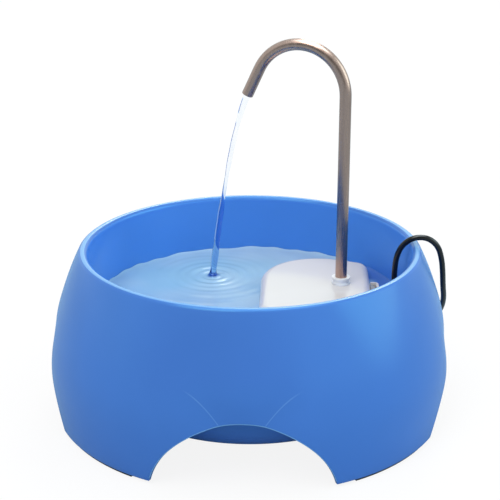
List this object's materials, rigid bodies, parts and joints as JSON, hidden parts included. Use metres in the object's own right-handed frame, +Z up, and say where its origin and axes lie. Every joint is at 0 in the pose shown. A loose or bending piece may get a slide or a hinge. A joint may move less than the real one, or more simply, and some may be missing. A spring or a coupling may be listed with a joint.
{
  "type": "pet water fountain",
  "caption": "Round double-walled pet water bowl on legs with a submerged pump unit, a tall gooseneck steel spout and a thin cord over the rim.",
  "frame": {"origin": "centre of the bowl's footprint on the surface it stands on", "axes": "+Z up; -Y out of the front arch, towards the viewer; +X to the pump unit and cord"},
  "size_m": [0.2057, 0.2555, 0.1897],
  "materials": {
    "blue_gloss_plastic": "gloss",
    "dark_rubber": "matte",
    "white_plastic": "satin",
    "clear_grey_rubber": "satin",
    "pale_rubber": "matte",
    "brushed_steel_tube": "brushed",
    "black_pump_plastic": "satin",
    "white_wheel_plastic": "satin",
    "ferrite": "matte",
    "white_ceramic": "polished",
    "electrical_steel": "satin",
    "copper_winding": "enamelled",
    "circuit_board": "satin",
    "potting_resin": "gloss",
    "dark_sponge": "open cell",
    "carbon": "fibrous",
    "cotton": "fibrous",
    "grey_relief_rubber": "matte",
    "black_cord": "satin",
    "tie_rubber": "matte",
    "black_plug_plastic": "satin",
    "plated_shell": "polished",
    "tongue_plastic": "satin"
  },
  "bodies": {
    "bowl_unit": {"bowl": "blue_gloss_plastic", "bowl_feet": "dark_rubber", "cord_outer_run": "black_cord", "cord_coil": "black_cord", "cord_tie": "tie_rubber", "cord_tail": "black_cord", "plug_overmould": "black_plug_plastic", "plug_shell": "plated_shell", "plug_tongue": "tongue_plastic"},
    "pump_unit": {"housing_base": "white_plastic", "suction_feet": "clear_grey_rubber", "strain_relief": "grey_relief_rubber", "inner_lead": "black_cord", "cord_inner_run": "black_cord", "pump_casing": "black_pump_plastic", "pump_front_cover": "black_pump_plastic", "front_o_ring": "dark_rubber", "impeller_shaft": "white_ceramic", "front_bush": "dark_rubber", "rear_bush": "dark_rubber", "stator_core": "electrical_steel", "stator_coils": "copper_winding", "driver_board": "circuit_board", "motor_potting": "potting_resin"},
    "cover_unit": {"housing_cover": "white_plastic", "spout_grommet": "pale_rubber"},
    "filter_unit": {"filter_frame": "white_plastic", "filter_cap": "white_plastic", "filter_sponge": "dark_sponge", "carbon_pad": "carbon", "cotton_pad": "cotton"},
    "rotor": {"impeller": "white_wheel_plastic", "rotor_magnet": "ferrite"},
    "dial": {"flow_dial": "black_pump_plastic"},
    "swivel": {"outlet_sleeve": "dark_rubber"},
    "spout": {"spout_tube": "brushed_steel_tube"}
  },
  "joints": [
    {"name": "unit_lift", "type": "slide", "parent": "bowl_unit", "child": "pump_unit", "axis": [0, 0, 1], "range_m": [0, 0.085]},
    {"name": "cover_lift", "type": "slide", "parent": "pump_unit", "child": "cover_unit", "axis": [0, 0, 1], "range_m": [0, 0.06]},
    {"name": "filter_lift", "type": "slide", "parent": "pump_unit", "child": "filter_unit", "axis": [0, 0, 1], "range_m": [0, 0.03]},
    {"name": "rotor_spin", "type": "hinge", "parent": "pump_unit", "child": "rotor", "pos_m": [0.0382, 0.0082, 0.034], "axis": [0, 1, 0], "continuous": true},
    {"name": "flow_turn", "type": "hinge", "parent": "pump_unit", "child": "dial", "pos_m": [0.0382, 0.0082, 0.034], "axis": [0, 1, 0], "range_deg": [0, 30]},
    {"name": "spout_swivel", "type": "hinge", "parent": "pump_unit", "child": "swivel", "pos_m": [0.0472, 0.0082, 0.0522], "axis": [0, 0, 1], "continuous": true},
    {"name": "spout_lift", "type": "slide", "parent": "swivel", "child": "spout", "axis": [0, 0, 1], "range_m": [0, 0.04]}
  ],
  "couplings": [
    {"joint": "filter_lift", "follows": "cover_lift", "ratio": 0.5}
  ]
}
